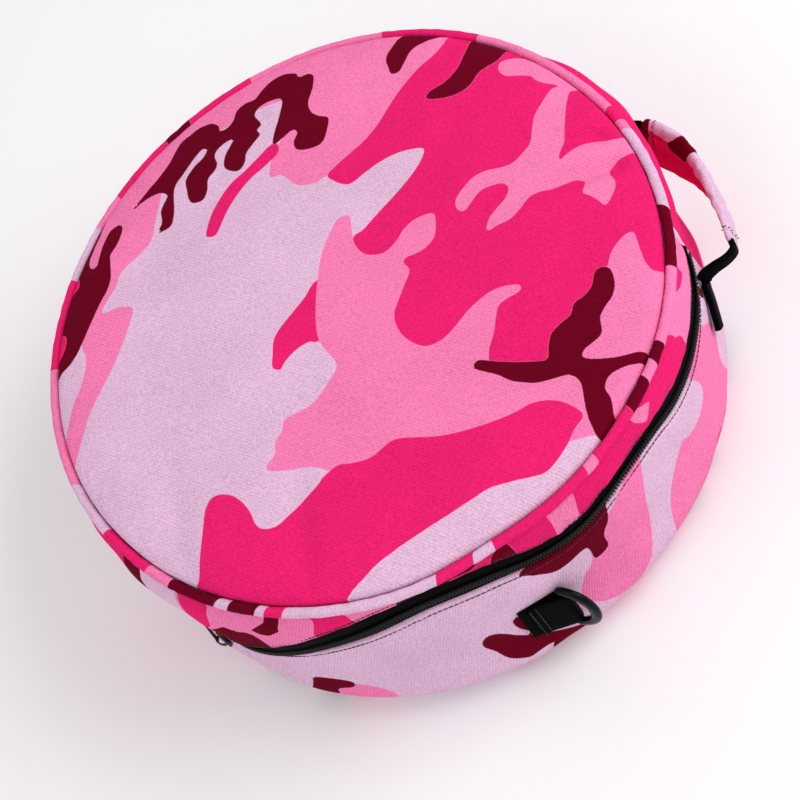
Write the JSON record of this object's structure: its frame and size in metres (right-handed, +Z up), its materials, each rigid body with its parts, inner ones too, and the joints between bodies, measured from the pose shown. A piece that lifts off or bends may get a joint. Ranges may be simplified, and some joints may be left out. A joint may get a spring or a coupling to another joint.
{
  "type": "diving regulator bag",
  "caption": "Round padded cloth carry bag for a diving regulator, with a zipped lid, piped rims, a padded side handle and strap rings.",
  "frame": {"origin": "centre of the flat underside that the bag lies on", "axes": "+Z up along the round bag's axis, handle on the +X side, zip facing -Y"},
  "size_m": [0.3652, 0.3651, 0.1294],
  "materials": {
    "camo_cloth": "woven, matt, printed camouflage",
    "piping_cloth": "woven, matt, printed camouflage",
    "zip_cloth": "woven tape, slight sheen",
    "zip_plastic": "satin black",
    "slider_metal": "satin black enamel",
    "webbing": "ribbed webbing, matt",
    "ring_plastic": "moulded, glossy black"
  },
  "bodies": {
    "root": {"top_panel": "camo_cloth", "upper_band": "camo_cloth", "lower_band": "camo_cloth", "hinge_panel": "camo_cloth", "bottom_panel": "camo_cloth", "top_piping": "piping_cloth", "bottom_piping": "piping_cloth", "zip_tape_upper": "zip_cloth", "zip_tape_lower": "zip_cloth", "zip_coil": "zip_plastic", "zip_slider": "slider_metal", "zip_pull": "slider_metal", "handle_sleeve": "camo_cloth", "strap_near": "webbing", "strap_far": "webbing", "ring_tab_front": "webbing", "ring_tab_back": "webbing", "ring_front": "ring_plastic", "ring_back": "ring_plastic"}
  },
  "joints": []
}
